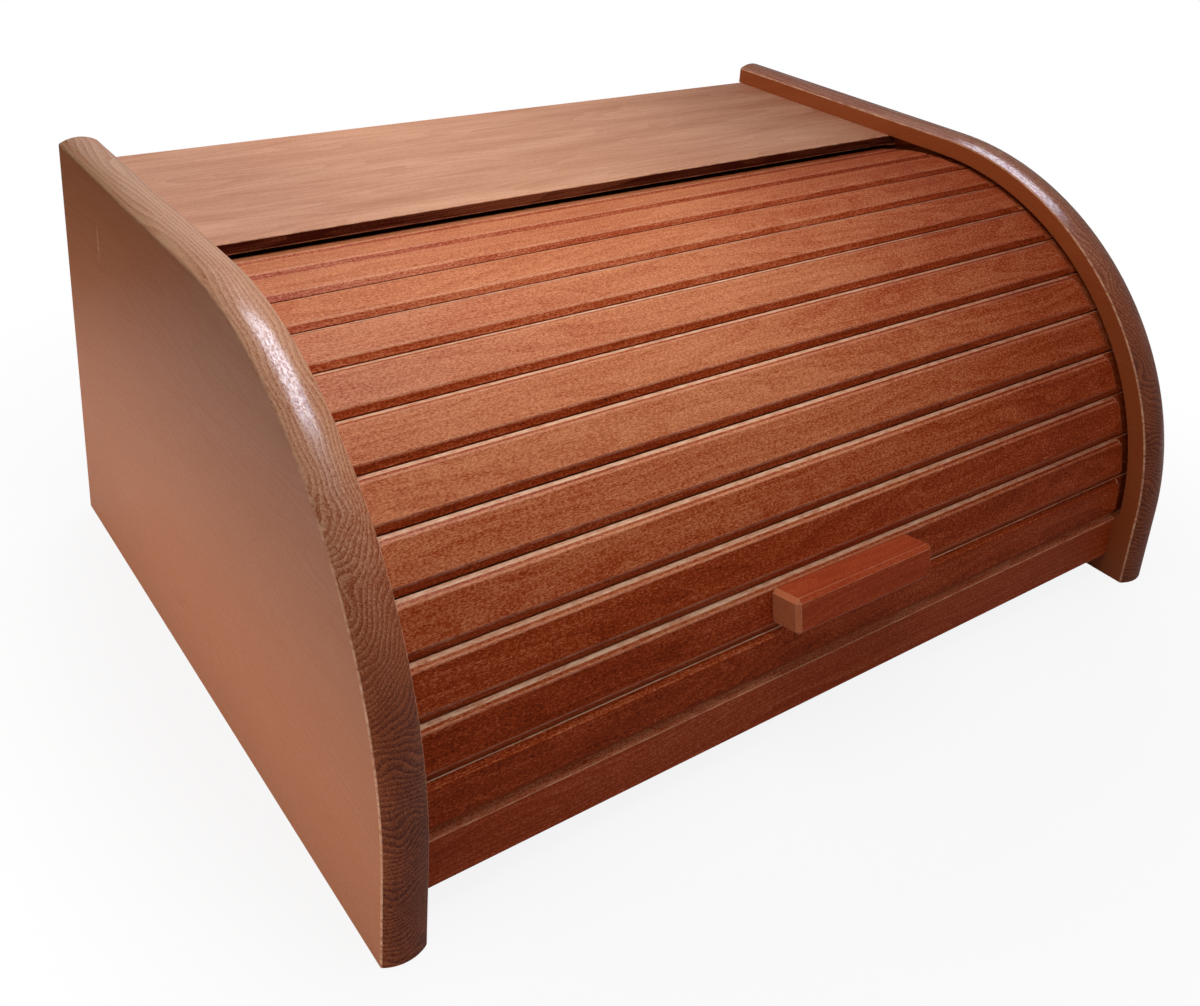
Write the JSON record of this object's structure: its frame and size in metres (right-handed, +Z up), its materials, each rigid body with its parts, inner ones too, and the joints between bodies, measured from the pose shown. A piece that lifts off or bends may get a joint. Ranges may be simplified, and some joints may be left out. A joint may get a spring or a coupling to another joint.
{
  "type": "roll-top bread box",
  "caption": "Stained wooden bread box with quarter-round sides and a slatted tambour door that rolls back under a fixed top deck.",
  "frame": {"origin": "middle of the footprint, on the surface that the box stands on", "axes": "+X to the right across the front, the door faces -Y, +Z up"},
  "size_m": [0.4, 0.3, 0.18],
  "materials": {
    "side_wood": "reddish-brown stained beech, satin lacquer, end grain on the round edge",
    "board_wood": "reddish-brown stained beech plywood, satin lacquer",
    "rail_wood": "reddish-brown stained beech, satin lacquer",
    "dowel_wood": "plain beech dowel",
    "slat_wood": "reddish-brown stained beech with short flecks, satin lacquer",
    "backing_cloth": "plain-woven cotton cloth",
    "handle_wood": "reddish-brown stained beech, worn edges",
    "screw_steel": "zinc-plated steel"
  },
  "bodies": {
    "case": {"left_side_panel": "side_wood", "right_side_panel": "side_wood", "top_deck": "board_wood", "base_panel": "board_wood", "back_panel": "board_wood", "front_rail": "rail_wood", "rail_dowels": "dowel_wood"},
    "door": {"slat_01": "slat_wood", "slat_02": "slat_wood", "slat_03": "slat_wood", "slat_04": "slat_wood", "slat_05": "slat_wood", "slat_06": "slat_wood", "slat_07": "slat_wood", "slat_08": "slat_wood", "slat_09": "slat_wood", "slat_10": "slat_wood", "slat_11": "slat_wood", "slat_12": "slat_wood", "slat_13": "slat_wood", "cloth_backing": "backing_cloth", "handle": "handle_wood", "handle_screws": "screw_steel"}
  },
  "joints": [
    {"name": "door_roll", "type": "hinge", "parent": "case", "child": "door", "pos_m": [0, -0.006, 0.036], "axis": [-1, 0, 0], "range_deg": [0, 77]}
  ]
}
